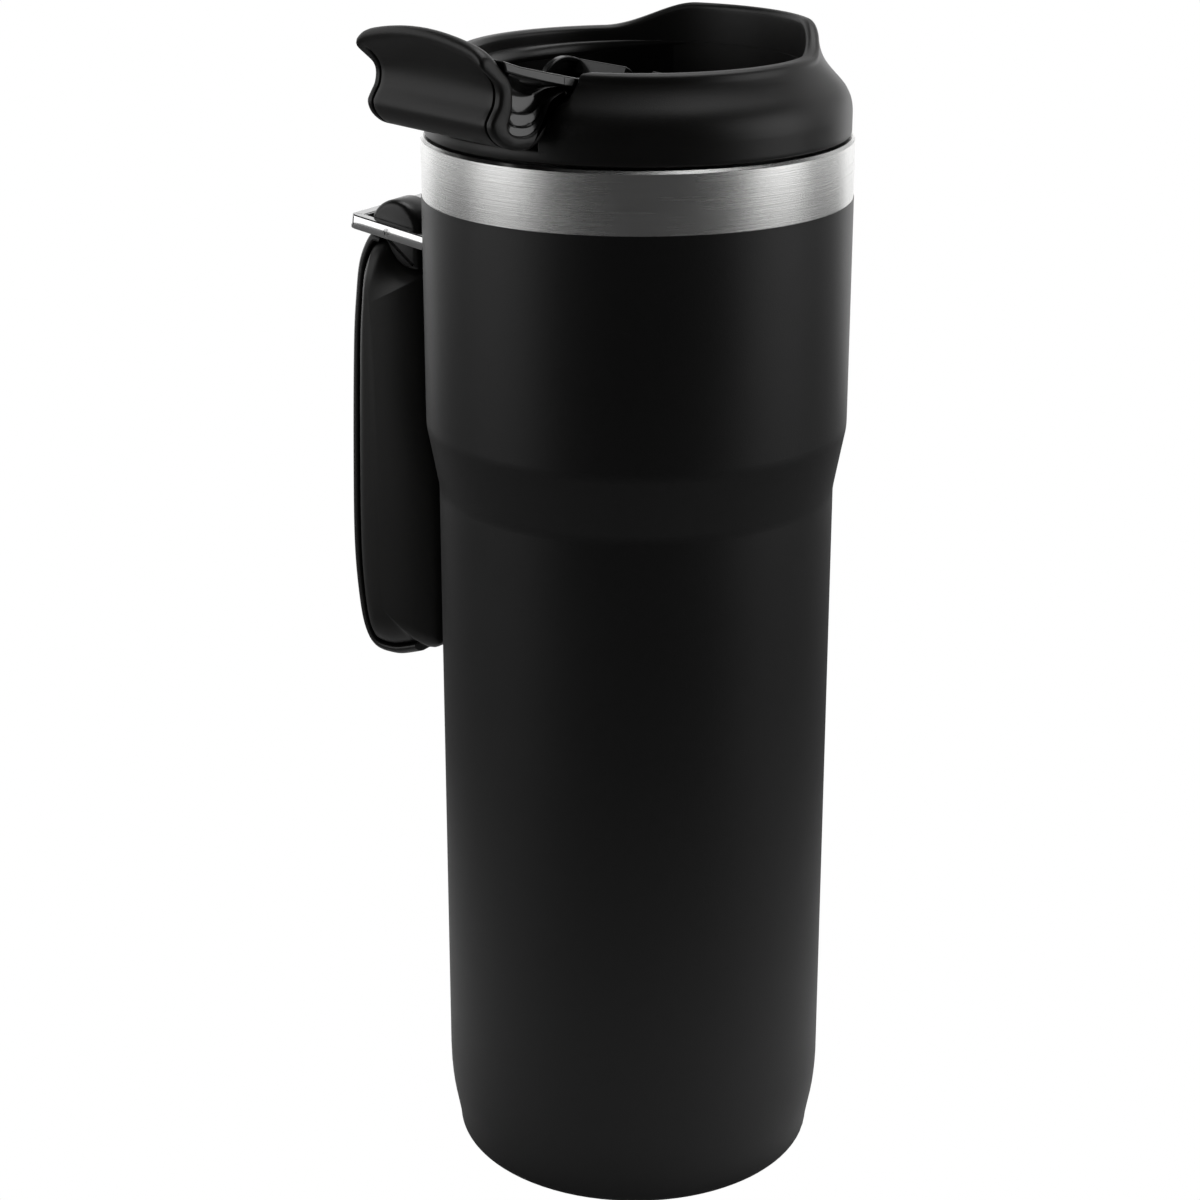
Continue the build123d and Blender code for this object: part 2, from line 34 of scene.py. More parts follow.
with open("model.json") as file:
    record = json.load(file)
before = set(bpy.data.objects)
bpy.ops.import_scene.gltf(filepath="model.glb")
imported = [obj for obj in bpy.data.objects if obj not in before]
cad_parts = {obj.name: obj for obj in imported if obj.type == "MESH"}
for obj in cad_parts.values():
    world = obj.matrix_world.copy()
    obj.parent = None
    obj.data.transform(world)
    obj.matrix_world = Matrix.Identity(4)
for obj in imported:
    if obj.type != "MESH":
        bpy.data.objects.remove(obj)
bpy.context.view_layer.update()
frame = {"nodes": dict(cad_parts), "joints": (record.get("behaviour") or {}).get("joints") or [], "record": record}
NODES = frame["nodes"]
MM = 0.001

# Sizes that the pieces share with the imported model.
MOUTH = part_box("mouth_band")[1].z / MM
LID_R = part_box("lid_shell")[1].x / MM
JOINTS = {joint["name"]: joint for joint in frame["joints"]}
HUB_Y = JOINTS["lever_flip"]["pos_m"][1] / MM
HUB_H = JOINTS["lever_flip"]["pos_m"][2] / MM - MOUTH
PIN = JOINTS["handle_swing"]["pos_m"]
PIN_OUT = math.hypot(PIN[0], PIN[1]) / MM
PIN_H = PIN[2] / MM - MOUTH
OUTWARD = Vector((PIN[0], PIN[1], 0)).normalized()
TANGENT = Vector((OUTWARD.y, -OUTWARD.x, 0))
UP = Vector((0, 0, 1))


# =============== Camera, light and floor ===============

LENS_MM = 79.47
CAMERA_AT = (-0.3637, 0.3086, 0.2813)
CAMERA_LOOKS = (0.7269, -0.5992, -0.3356)
CAMERA_RIGHT = (-0.6361, -0.7716, 0)
CAMERA_AZ = 139.7        # the side that the camera stands on, degrees from +X
AIM_H = 0.12             # height on the mug that every light faces
FILL = 0.010             # faint light from all round
FLOOR_SIZE = 8
# Painted light: the floor that the mug sees is painted bright near its foot and darker further out.
PAPER_LIGHT_POOL_NEAR = (0.07, 0.85)    # distance from the mug's axis, and the floor's painted brightness up to there: a painted pool of light round the mug
PAPER_LIGHT_POOL_FAR = (0.22, 0.18)

# Soft boxes: azimuth from the camera's side, height, distance, width, tallness, watts.
LIGHTS = {
    "left_front": (-74, 0.28, 1.0, 0.78, 1.1, 3.9),
    "left_back": (-128, 0.28, 1.0, 0.8, 1.1, 2.2),
    "right_front": (78, 0.28, 1.0, 0.72, 1.1, 4.0),
    "right_back": (130, 0.28, 1.0, 0.8, 1.1, 1.8),
    "back": (180, 0.62, 1.6, 1.6, 1.0, 3.6),
    "key": (6, 0.32, 1.5, 0.26, 0.8, 0.09),
    "top": (150, 1.1, 0.35, 0.8, 0.8, 4.8),
    "sheet": (180, 0.13, 0.5, 1.0, 0.26, 0.85),
}


def node(nt, kind, **values):
    """New shader node with its inputs or properties set by name."""
    made = nt.nodes.new(kind)
    for key, value in values.items():
        if key in made.inputs:
            made.inputs[key].default_value = value
        else:
            setattr(made, key, value)
    return made


def map_range(nt, source, start, end, low, high):
    """Node that turns a value between start and end into one between low and high."""
    limits = {"From Min": start, "From Max": end, "To Min": low, "To Max": high}
    made = node(nt, "ShaderNodeMapRange", **limits)
    nt.links.new(source, made.inputs["Value"])
    return made.outputs["Result"]


def split_by_camera(nt, out_kind, lit, seen):
    """Camera rays meet one shader, and the light that reaches the mug comes from the other."""
    out = node(nt, out_kind)
    mix = node(nt, "ShaderNodeMixShader")
    path = node(nt, "ShaderNodeLightPath")
    nt.links.new(path.outputs["Is Camera Ray"], mix.inputs["Fac"])
    nt.links.new(lit.outputs[0], mix.inputs[1])
    nt.links.new(seen.outputs[0], mix.inputs[2])
    nt.links.new(mix.outputs[0], out.inputs["Surface"])


def add_camera():
    camera = bpy.data.objects.new("camera", bpy.data.cameras.new("camera"))
    bpy.context.scene.collection.objects.link(camera)
    camera.data.sensor_width = 36
    camera.data.lens = LENS_MM
    camera.data.clip_start = 0.01
    forward = Vector(CAMERA_LOOKS).normalized()
    right = Vector(CAMERA_RIGHT).normalized()
    turn = Matrix((right, right.cross(forward), -forward)).transposed().to_4x4()
    camera.matrix_world = Matrix.Translation(CAMERA_AT) @ turn
    bpy.context.scene.camera = camera


def add_light(name, azimuth, height, distance, width, tall, power):
    """Soft box that faces the mug and that the camera doesn't see."""
    side = math.radians(CAMERA_AZ + azimuth)
    lamp = bpy.data.lights.new(name, "AREA")
    lamp.shape = "RECTANGLE"
    lamp.size = width
    lamp.size_y = tall
    lamp.energy = power
    ob = bpy.data.objects.new(name, lamp)
    ob.location = (distance * math.cos(side), distance * math.sin(side), height)
    aim = Vector((0, 0, AIM_H)) - ob.location
    ob.rotation_euler = aim.to_track_quat("-Z", "Y").to_euler()
    ob.visible_camera = False
    bpy.context.scene.collection.objects.link(ob)


def add_world():
    world = bpy.data.worlds.new("studio")
    bpy.context.scene.world = world
    world.use_nodes = True
    nt = world.node_tree
    nt.nodes.clear()
    fill = node(nt, "ShaderNodeBackground", Color=(1, 1, 1, 1), Strength=FILL)
    seen = node(nt, "ShaderNodeBackground", Color=(1, 1, 1, 1), Strength=1.0)
    split_by_camera(nt, "ShaderNodeOutputWorld", fill, seen)


def add_floor():
    """White to the camera; to the mug, a sheet of paper with a painted pool of light at its foot that fades to
    painted shade further out.
    """
    bpy.ops.mesh.primitive_plane_add(size=FLOOR_SIZE)
    floor = bpy.context.object
    floor.name = "floor"
    mat = bpy.data.materials.new("floor")
    mat.use_nodes = True
    nt = mat.node_tree
    nt.nodes.clear()
    white = node(nt, "ShaderNodeEmission", Strength=1.0)
    paper = node(nt, "ShaderNodeBsdfDiffuse")
    place = node(nt, "ShaderNodeTexCoord")
    far = node(nt, "ShaderNodeVectorMath", operation="LENGTH")
    nt.links.new(place.outputs["Object"], far.inputs[0])
    # Painted light: the paper's colour fades from a painted pool of light at the mug's foot to painted shade
    # further out.
    painted_light_falloff = map_range(nt, far.outputs["Value"], PAPER_LIGHT_POOL_NEAR[0], PAPER_LIGHT_POOL_FAR[0], PAPER_LIGHT_POOL_NEAR[1], PAPER_LIGHT_POOL_FAR[1])
    nt.links.new(painted_light_falloff, paper.inputs["Color"])
    split_by_camera(nt, "ShaderNodeOutputMaterial", paper, white)
    floor.data.materials.append(mat)


add_camera()
add_world()
for light_name, light_values in LIGHTS.items():
    add_light(light_name, *light_values)
add_floor()
bpy.context.scene.view_settings.view_transform = "Standard"


# =============== Materials ===============

SLOW_SCALE = 45.0        # of the slow changes of colour and roughness
COAT_ROUGH = 0.08
BUMP = 0.35


def finish(name, color, rough, metallic=0.0, grain=0.4, relief=0.02, vary=0.12, uneven=0.05,
           stretch=(1, 1, 1), coat=0.0, specular=0.5, aniso=0.0):
    """Procedural finish: fine grain of that size in mm, slow changes of colour and roughness, low relief."""
    mat = bpy.data.materials.new(name)
    mat.use_nodes = True
    nt = mat.node_tree
    shader = nt.nodes["Principled BSDF"]
    shader.inputs["Metallic"].default_value = metallic
    shader.inputs["Specular IOR Level"].default_value = specular
    shader.inputs["Coat Weight"].default_value = coat
    shader.inputs["Coat Roughness"].default_value = COAT_ROUGH
    shader.inputs["Anisotropic"].default_value = aniso
    place = node(nt, "ShaderNodeTexCoord")
    spread = node(nt, "ShaderNodeMapping", Scale=stretch)
    fine = node(nt, "ShaderNodeTexNoise", Scale=1 / (grain * MM), Detail=3.0, Roughness=0.6)
    slow = node(nt, "ShaderNodeTexNoise", Scale=SLOW_SCALE, Detail=2.0, Roughness=0.5)
    nt.links.new(place.outputs["Object"], spread.inputs["Vector"])
    nt.links.new(spread.outputs["Vector"], fine.inputs["Vector"])
    nt.links.new(place.outputs["Object"], slow.inputs["Vector"])

    total = node(nt, "ShaderNodeMath", operation="ADD")
    mean = node(nt, "ShaderNodeMath", operation="MULTIPLY")
    mean.inputs[1].default_value = 0.5
    nt.links.new(fine.outputs["Fac"], total.inputs[0])
    nt.links.new(slow.outputs["Fac"], total.inputs[1])
    nt.links.new(total.outputs[0], mean.inputs[0])

    tint = node(nt, "ShaderNodeMix", data_type="RGBA")
    tint.inputs[6].default_value = (*[c * (1 - vary) for c in color], 1)
    tint.inputs[7].default_value = (*[min(1, c * (1 + vary)) for c in color], 1)
    nt.links.new(mean.outputs[0], tint.inputs[0])
    nt.links.new(tint.outputs[2], shader.inputs["Base Color"])

    roughness = map_range(nt, mean.outputs[0], 0.25, 0.75, max(0.02, rough - uneven), min(1, rough + uneven))
    nt.links.new(roughness, shader.inputs["Roughness"])

    bump = node(nt, "ShaderNodeBump", Strength=BUMP, Distance=relief * MM)
    nt.links.new(fine.outputs["Fac"], bump.inputs["Height"])
    nt.links.new(bump.outputs["Normal"], shader.inputs["Normal"])
    if aniso:
        round_axis = node(nt, "ShaderNodeTangent", direction_type="RADIAL", axis="Z")
        nt.links.new(round_axis.outputs[0], shader.inputs["Tangent"])
    return mat


MATS = {
    "powder_coat": finish("powder_coat", (0.0042, 0.0041, 0.0043), 0.43, grain=0.30, relief=0.05),
    "brushed_steel": finish("brushed_steel", (0.84, 0.84, 0.83), 0.25, 1.0, grain=0.22, relief=0.014,
                            vary=0.16, uneven=0.07, stretch=(0.012, 0.012, 1), aniso=0.85),
    "liner_steel": finish("liner_steel", (0.58, 0.58, 0.57), 0.34, 1.0, grain=0.4, relief=0.02, vary=0.06,
                          stretch=(0.03, 0.03, 1), aniso=0.5),
    "bracket_steel": finish("bracket_steel", (0.012, 0.012, 0.012), 0.42, grain=0.3, relief=0.04),
    "matte_black": finish("matte_black", (0.0062, 0.0058, 0.0053), 0.40, grain=0.22, relief=0.045,
                          specular=0.42),
    "satin_black": finish("satin_black", (0.0055, 0.0053, 0.0050), 0.34, grain=0.5, relief=0.02),
    "gloss_black": finish("gloss_black", (0.006, 0.006, 0.006), 0.22, grain=1.4, relief=0.006, vary=0.05,
                          uneven=0.04, coat=0.5),
    "silicone": finish("silicone", (0.09, 0.09, 0.09), 0.6, grain=0.6, relief=0.03),
    "screw_steel": finish("screw_steel", (0.55, 0.55, 0.54), 0.3, 1.0, grain=0.5, relief=0.01, vary=0.05),
    "chrome": finish("chrome", (0.83, 0.83, 0.83), 0.10, 1.0, grain=1.2, relief=0.003, vary=0.03,
                     uneven=0.03),
    "grip_black": finish("grip_black", (0.0058, 0.0054, 0.0048), 0.42, grain=0.25, relief=0.05,
                         specular=0.4),
    "grip_band": finish("grip_band", (0.008, 0.0076, 0.0070), 0.40, grain=0.3, relief=0.04),
}

for subpart in frame["record"]["subparts"]:
    cad_mesh = NODES[subpart["node"]].data
    cad_mesh.materials.clear()
    cad_mesh.materials.append(MATS[subpart["material_slot"]])


# =============== Helpers ===============

def lid_point(radius, azimuth, height):
    """Point on the lid at an azimuth in radians from +X."""
    return Vector((radius * math.cos(azimuth), radius * math.sin(azimuth), MOUTH + height))


def side_point(x, y, height):
    """Point of a section that lies across X."""
    return Vector((x, y, MOUTH + height))


def handle_point(out, height, across):
    """Point at a distance out from the mug's axis towards the handle, and across from its middle plane."""
    return OUTWARD * out + TANGENT * across + UP * (MOUTH + height)


def ease(t):
    """Smooth step from 0 to 1."""
    t = min(max(t, 0.0), 1.0)
    return t * t * t * (t * (6 * t - 15) + 10)


def blend(a, b, share):
    """Point part of the way from a to b."""
    return a[0] + (b[0] - a[0]) * share, a[1] + (b[1] - a[1]) * share


def between(table, value):
    """Linear look-up in a table of pairs."""
    for (a, x), (b, y) in zip(table, table[1:]):
        if value <= b:
            return x + (y - x) * max(0.0, (value - a) / (b - a))
    return table[-1][1]


def arc(cx, cy, radius, start, end, count):
    """Points on an arc between two angles in degrees."""
    turns = [math.radians(start + (end - start) * i / (count - 1)) for i in range(count)]
    return [(cx + radius * math.cos(t), cy + radius * math.sin(t)) for t in turns]


def smooth_line(anchors, count, closed=False):
    """Evenly spaced points on a Catmull-Rom curve through the anchors."""
    fineness = 24
    n = len(anchors)
    dense = []
    for i in range(n if closed else n - 1):
        near = [i + k for k in (-1, 0, 1, 2)]
        around = [anchors[k % n] if closed else anchors[min(max(k, 0), n - 1)] for k in near]
        for s in range(fineness):
            t = s / fineness
            dense.append(tuple(0.5 * (2 * b + (c - a) * t + (2 * a - 5 * b + 4 * c - d) * t * t
                                      + (3 * b - a - 3 * c + d) * t ** 3) for a, b, c, d in zip(*around)))
    dense.append(anchors[0] if closed else anchors[-1])
    walk = [0.0]
    for a, b in zip(dense, dense[1:]):
        walk.append(walk[-1] + math.dist(a, b))
    line = []
    j = 0
    for i in range(count):
        goal = walk[-1] * i / (count if closed else count - 1)
        while j < len(walk) - 2 and walk[j + 1] < goal:
            j += 1
        line.append(blend(dense[j], dense[j + 1], (goal - walk[j]) / max(walk[j + 1] - walk[j], 1e-9)))
    return line


def inset_loop(loop, depth):
    """Closed loop moved inward along its own normals, by one depth or by a depth for each point."""
    n = len(loop)
    depths = depth if isinstance(depth, list) else [depth] * n
    area = sum(loop[i][0] * loop[(i + 1) % n][1] - loop[(i + 1) % n][0] * loop[i][1] for i in range(n))
    side = 1 if area > 0 else -1
    moved = []
    for i, (x, y) in enumerate(loop):
        dx = loop[(i + 1) % n][0] - loop[i - 1][0]
        dy = loop[(i + 1) % n][1] - loop[i - 1][1]
        size = math.hypot(dx, dy) or 1
        moved.append((x - side * dy / size * depths[i], y + side * dx / size * depths[i]))
    return moved


def strips(rings, closed_ring=True, closed_row=False, caps=True):
    """Points and faces through a row of equal rings."""
    count = len(rings[0])
    points = [p for ring in rings for p in ring]
    faces = []
    for i in range(len(rings) if closed_row else len(rings) - 1):
        a = i * count
        b = ((i + 1) % len(rings)) * count
        for j in range(count if closed_ring else count - 1):
            k = (j + 1) % count
            faces.append((a + j, a + k, b + k, b + j))
    if caps:
        faces.append(tuple(range(count)))
        faces.append(tuple((len(rings) - 1) * count + j for j in reversed(range(count))))
    return points, faces


def join(*parts):
    """One list of points and faces out of several."""
    points = []
    faces = []
    for more, polygons in parts:
        start = len(points)
        points += more
        faces += [tuple(start + v for v in polygon) for polygon in polygons]
    return points, faces


def place_mesh(name, mesh, body, slot, *replaced):
    """Object for a finished mesh, which rides on a body and takes its finish from a slot."""
    mesh.materials.clear()
    mesh.materials.append(MATS[slot])
    for face in mesh.polygons:
        face.use_smooth = True
    ob = bpy.data.objects.new(name, mesh)
    bpy.context.scene.collection.objects.link(ob)
    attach(ob, body)
    if replaced:
        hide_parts(*replaced)
    return ob


def piece(name, shape, body, slot, *replaced, bevel=0.0, sharp=40):
    """Closed piece out of points and faces; a bevel rounds the edges that turn more than the sharp angle."""
    points, faces = shape
    mesh = bpy.data.meshes.new(name)
    mesh.from_pydata([tuple(p * MM) for p in points], [], faces)
    work = bmesh.new()
    work.from_mesh(mesh)
    bmesh.ops.remove_doubles(work, verts=work.verts, dist=1e-6)
    bmesh.ops.recalc_face_normals(work, faces=work.faces)
    work.to_mesh(mesh)
    work.free()
    ob = place_mesh(name, mesh, body, slot, *replaced)
    if not bevel:
        mesh.set_sharp_from_angle(angle=math.radians(sharp))
        return
    soft = ob.modifiers.new("soft_edges", "BEVEL")
    soft.width = bevel * MM
    soft.segments = 3
    soft.limit_method = "ANGLE"
    soft.angle_limit = math.radians(sharp)
    soft.use_clamp_overlap = False
    soft.harden_normals = True


def extruded(name, outline, half, body, slot, *replaced, centre=0.0, bevel=0.3):
    """Section in the plane across X, swept both ways along X, with softened edges."""
    ends = [[side_point(x, y, z) for y, z in outline] for x in (centre - half, centre + half)]
    piece(name, strips(ends), body, slot, *replaced, bevel=bevel)


# =============== Lid cover ===============

SLOT_HALF = 17.3         # half width of the lever's slot
SLOT_LOW = 15.4          # the same, where the wall stands inside the lever's curl
SLOT_WIDENS = (9.6, 10.4)
SLOT_FLOOR = 2.9
RIM_IN = 29.7
RIM_TOP = 15.0
LIP_TOP = 19.5
LIP_ENDS = 61            # degrees from the lip's middle to where it meets the rim
LIP_FLAT = 29
RIM_ROUND = (1.15, 1.25)     # width and height of the rim's outer rounding
RIM_ROUND_IN = 1.0
STATIONS = 300
SHOULDER = [(0.9, LID_R), (4.6, LID_R), (5.8, 38.28), (6.8, 38.0), (7.7, 37.6), (8.6, 37.05), (9.5, 36.3),
            (10.5, 35.35), (11.6, 34.35), (12.6, 33.55), (13.6, 32.95), (14.8, 32.45), (16.2, 32.1),
            (19.2, 31.95)]
FOOT = [(LID_R - 0.5, 0.4), (LID_R - 0.12, 0.55)]
CHANNEL = [(RIM_IN, 0.4), (31.1, 0.4), (31.1, 1.9), (36.2, 1.9), (36.2, 0.4)]


def rim_height(azimuth):
    """Height of the rim, which rises to the drinking lip at -Y."""
    away = math.degrees(math.acos(max(-1.0, min(1.0, -math.sin(azimuth)))))
    share = min(max((LIP_ENDS - away) / (LIP_ENDS - LIP_FLAT), 0.0), 1.0)
    return RIM_TOP + (LIP_TOP - RIM_TOP) * share * share * (3 - 2 * share)


def lid_loop(top):
    """Section of the cover from its foot, over the rim and down inside, for one rim height."""
    round_out, round_up = RIM_ROUND
    low = SHOULDER[0][0]
    high = top - round_up
    levels = [low + (high - low) * i / 28 for i in range(29)]
    outer = [(between(SHOULDER, z), z) for z in levels]
    edge = outer[-1][0]
    crown = []
    for i in range(1, 8):
        t = math.pi / 2 * i / 8
        crown.append((edge - round_out * (1 - math.cos(t)), high + round_up * math.sin(t)))
    for i in range(8):
        t = math.pi / 2 * i / 7
        crown.append((RIM_IN + RIM_ROUND_IN * (1 - math.sin(t)), top - RIM_ROUND_IN * (1 - math.cos(t))))
    return FOOT + outer + crown + [(RIM_IN, top - 1.6), (RIM_IN, 10)] + CHANNEL


def slot_turn(radius, height=RIM_TOP):
    """Half angle of the lever's slot at a radius and a height."""
    start, end = SLOT_WIDENS
    half = SLOT_LOW + (SLOT_HALF - SLOT_LOW) * ease((height - start) / (end - start))
    return math.asin(half / radius)


def cover_wall():
    """Wall, shoulder and rim, from one cheek of the slot round to the other."""
    middle_turn = slot_turn(32)
    rings = []
    for s in range(STATIONS + 1):
        share = s / STATIONS
        azimuth = math.pi / 2 + middle_turn + share * 2 * (math.pi - middle_turn)
        ring = []
        for radius, height in lid_loop(rim_height(azimuth)):
            turn = slot_turn(radius, height)
            ring.append(lid_point(radius, math.pi / 2 + turn + share * 2 * (math.pi - turn), height))
        rings.append(ring)
    return strips(rings)


def slot_tray():
    """Low wall under the slot."""
    loop = CHANNEL + FOOT + [(LID_R, 0.9), (LID_R, SLOT_FLOOR - 0.5), (LID_R - 0.15, SLOT_FLOOR - 0.15),
                             (LID_R - 0.5, SLOT_FLOOR), (RIM_IN, SLOT_FLOOR)]
    rings = []
    for s in range(61):
        side = 2 * s / 60 - 1
        rings.append([lid_point(r, math.pi / 2 + side * slot_turn(r), z) for r, z in loop])
    return strips(rings)


piece("lid_cover", join(cover_wall(), slot_tray()), "lid", "matte_black", "lid_shell", bevel=0.35, sharp=62)


# =============== Well of the lid ===============

HOLE_R = 28.1
HOLE_AHEAD = 1.9         # how far the ledge's circle stands towards the lip
LEDGE_TOP = 12.4
LEDGE_DROP = 2.2
LEDGE_WIDE = 1.2         # width from which the ledge has its whole drop
WALL_OUT = RIM_IN + 0.2
FLOOR_H = -1.2
FLOOR_THICK = 1.8
WELL_FOOT = FLOOR_H - FLOOR_THICK
LOW_WALL = 3.0


def hole_radius(azimuth):
    """Radius of the ledge's inner edge about the mug's axis."""
    toward = -math.sin(azimuth)
    aside = math.cos(azimuth)
    reach = HOLE_AHEAD * toward + math.sqrt(HOLE_R ** 2 - (HOLE_AHEAD * aside) ** 2)
    return min(reach, RIM_IN + 0.12)


def dish_ring(azimuth):
    """Section of the well's wall, whose ledge rolls over inward above an undercut."""
    inner = hole_radius(azimuth)
    wide = max(RIM_IN + 0.15 - inner, 0.02)
    drop = LEDGE_DROP * min(1.0, wide / LEDGE_WIDE)
    lower = LEDGE_TOP - drop
    ring = [(WALL_OUT, LEDGE_TOP - 3.5), (WALL_OUT, LEDGE_TOP - 0.2), (RIM_IN - 0.05, LEDGE_TOP - 0.15)]
    for i in range(9):
        t = math.pi / 2 * i / 8
        ring.append((inner + 0.88 * wide * (1 - math.sin(t)), LEDGE_TOP - drop * (1 - math.cos(t))))
    ring += [(inner + 0.1 * wide, lower - 0.25), (inner + 0.4 * wide, lower - 0.5),
             (inner + 0.4 * wide, WELL_FOOT), (WALL_OUT, WELL_FOOT)]
    return [lid_point(r, azimuth, z) for r, z in ring]


def well_wall():
    """Wall with its ledge, and a low wall where the lever's arm passes."""
    gap = slot_turn(RIM_IN - 1) + 0.012
    ledge = []
    for s in range(221):
        ledge.append(dish_ring(math.pi / 2 + gap + 2 * (math.pi - gap) * s / 220))
    inner = hole_radius(math.pi / 2)
    section = [(inner, WELL_FOOT), (inner, LOW_WALL), (RIM_IN, LOW_WALL), (RIM_IN, WELL_FOOT)]
    reach = gap + 0.05
    low = []
    for s in range(31):
        side = 2 * s / 30 - 1
        low.append([lid_point(r, math.pi / 2 + side * reach, z) for r, z in section])
    piece("well_wall", join(strips(ledge), strips(low)), "lid", "satin_black", "well_dish", sharp=50)


def add_flat_loop(curve, loop):
    line = curve.splines.new("POLY")
    line.points.add(len(loop) - 1)
    for point, (x, y) in zip(line.points, loop):
        point.co = (x * MM, y * MM, 0, 1)
    line.use_cyclic_u = True


def well_floor():
    """Floor with its drink slot, vent, cam port and screw holes, all with softened edges."""
    soft = 0.15
    ports = [arc(6, -20, 3, -90, 90, 24) + arc(-6, -20, 3, 90, 270, 24), arc(0, HUB_Y, 2.3, 0, 352, 45),
             arc(10, -14, 1.0, 0, 345, 24)]
    for turn in (90, 210, 330):
        x = 22 * math.cos(math.radians(turn))
        y = 22 * math.sin(math.radians(turn))
        ports.append(arc(x, y, 1.3, 0, 345, 24))
    curve = bpy.data.curves.new("well_floor", "CURVE")
    curve.dimensions = "2D"
    curve.fill_mode = "BOTH"
    for loop in [arc(0, -0.6, 28.6, 0, 358, 180), *ports]:
        add_flat_loop(curve, loop)
    curve.extrude = (FLOOR_THICK / 2 - soft) * MM
    curve.bevel_depth = soft * MM
    curve.bevel_resolution = 2
    curve.offset = -soft * MM
    source = bpy.data.objects.new("well_floor", curve)
    bpy.context.scene.collection.objects.link(source)
    source.location = (0, 0, (MOUTH + FLOOR_H - FLOOR_THICK / 2) * MM)
    bpy.context.view_layer.update()
    mesh = bpy.data.meshes.new_from_object(source.evaluated_get(bpy.context.evaluated_depsgraph_get()))
    mesh.transform(source.matrix_world)
    bpy.data.objects.remove(source)
    place_mesh("well_floor", mesh, "lid", "satin_black")
    mesh.set_sharp_from_angle(angle=math.radians(35))


well_wall()
well_floor()


# =============== Hinge housing ===============

EAR_R = 6.15
EAR_IN = 17.3
EAR_THICK = 1.5
EAR_RIM = 0.9
EAR_SUNK = 0.7
SHIELD_IN = 3.5
SHIELD_INNER_R = 4.6
SHIELD_TOP = 115         # degrees round the hub where the shield ends, above the lever's arm


def half_disc(radius):
    """Half-round over the hub that runs straight down to the well's floor."""
    return arc(HUB_Y, HUB_H, radius, 0, 180, 48) + [(HUB_Y - radius, FLOOR_H), (HUB_Y + radius, FLOOR_H)]


def ear(side):
    """Half-round ear with a raised rim round a sunk inner face."""
    steps = [(EAR_THICK, EAR_R), (0, EAR_R), (0, EAR_R - EAR_RIM), (EAR_SUNK, EAR_R - EAR_RIM)]
    rings = []
    for x, radius in steps:
        rings.append([side_point(side * (EAR_IN + x), y, z) for y, z in half_disc(radius)])
    return strips(rings)


def hub_shields():
    """Curved wall in front of the hub, on each side of the cam."""
    top = math.radians(SHIELD_TOP)
    shield = [(HUB_Y + 3.3 * math.cos(top), HUB_H + 3.3 * math.sin(top))]
    shield += arc(HUB_Y, HUB_H, EAR_R, SHIELD_TOP, 180, 26)
    shield += [(HUB_Y - EAR_R, FLOOR_H), (HUB_Y - SHIELD_INNER_R, FLOOR_H)]
    shield += arc(HUB_Y, HUB_H, SHIELD_INNER_R, 180, SHIELD_TOP + 7, 14)
    for side, word in ((-1, "near"), (1, "far")):
        extruded("hub_shield_" + word, shield, (EAR_IN - SHIELD_IN) / 2, "lid", "gloss_black",
                 centre=side * (EAR_IN + SHIELD_IN) / 2)


piece("hub_ears", join(ear(-1), ear(1)), "lid", "gloss_black", "hinge_housing", bevel=0.22, sharp=35)
hub_shields()


# =============== Lever ===============

LEVER_HALF = 18.0
FLANGE_ARCH = 2.4        # how much higher the flange is in the middle than at its ends
FLANGE_DROP = 1.1        # further fall in the last stretch
FLANGE_DROP_FROM = 13.5
ARM_HALF = EAR_IN - 0.4

# Section of the skin across X, as distances along Y and heights: outside from the flange down round the curl
# and up the leg, then back along the inside.
SKIN_OUT = [(44.2, 17.9), (45.6, 19.4), (47.1, 20.1), (48.3, 19.7), (48.4, 18.5), (46.7, 16.7), (45.1, 14.9),
            (44.6, 13.2), (44.9, 11.2), (45.9, 9.5), (46.5, 8.1), (45.8, 6.2), (44.1, 4.6), (42.0, 3.75),
            (39.6, 3.4), (37.4, 3.9), (35.7, 5.3), (34.8, 7.3), (34.35, 9.2), (33.6, 10.5), (32.3, 11.3),
            (30.4, 11.9)]
SKIN_IN = [(30.6, 12.5), (32.6, 12.1), (34.2, 11.3), (35.2, 9.9), (35.8, 8.2), (36.9, 6.8), (38.5, 5.95),
           (40.6, 5.95), (42.2, 6.6), (42.8, 7.8), (42.3, 9.3), (41.9, 11.2), (42.0, 14.2), (42.9, 16.4)]

# Distance from the middle, and how far the section is drawn in there: a rounded end, then the groove.
SKIN_STEPS = [(18.0, 0.75), (17.93, 0.47), (17.78, 0.22), (17.55, 0.06), (17.3, 0.0), (16.7, 0.0),
              (16.5, 0.07), (16.41, 0.45), (16.35, 0.62), (15.95, 0.62), (15.89, 0.45), (15.8, 0.07),
              (15.6, 0.0), (14.5, 0.0), (13, 0.0), (11, 0.0), (9, 0.0), (7, 0.0), (5, 0.0), (3, 0.0),
              (1, 0.0)]
GROOVE = (15.7, 16.6)
GROOVE_FADES = (15.5, 18.0)  # heights between which the groove runs out under the flange

HEAD = [(31, 15.0), (35.4, 16.05), (40.5, 17.35), (43.9, 18.6), (43.4, 16.7), (40.0, 15.6), (35.4, 14.3),
        (31, 13.2)]
PLATE = [(10, 9.3), (18, 11.55), (26, 13.8), (31.6, 15.1), (31.6, 13.35), (26, 12.0), (18, 9.8), (10, 7.6)]

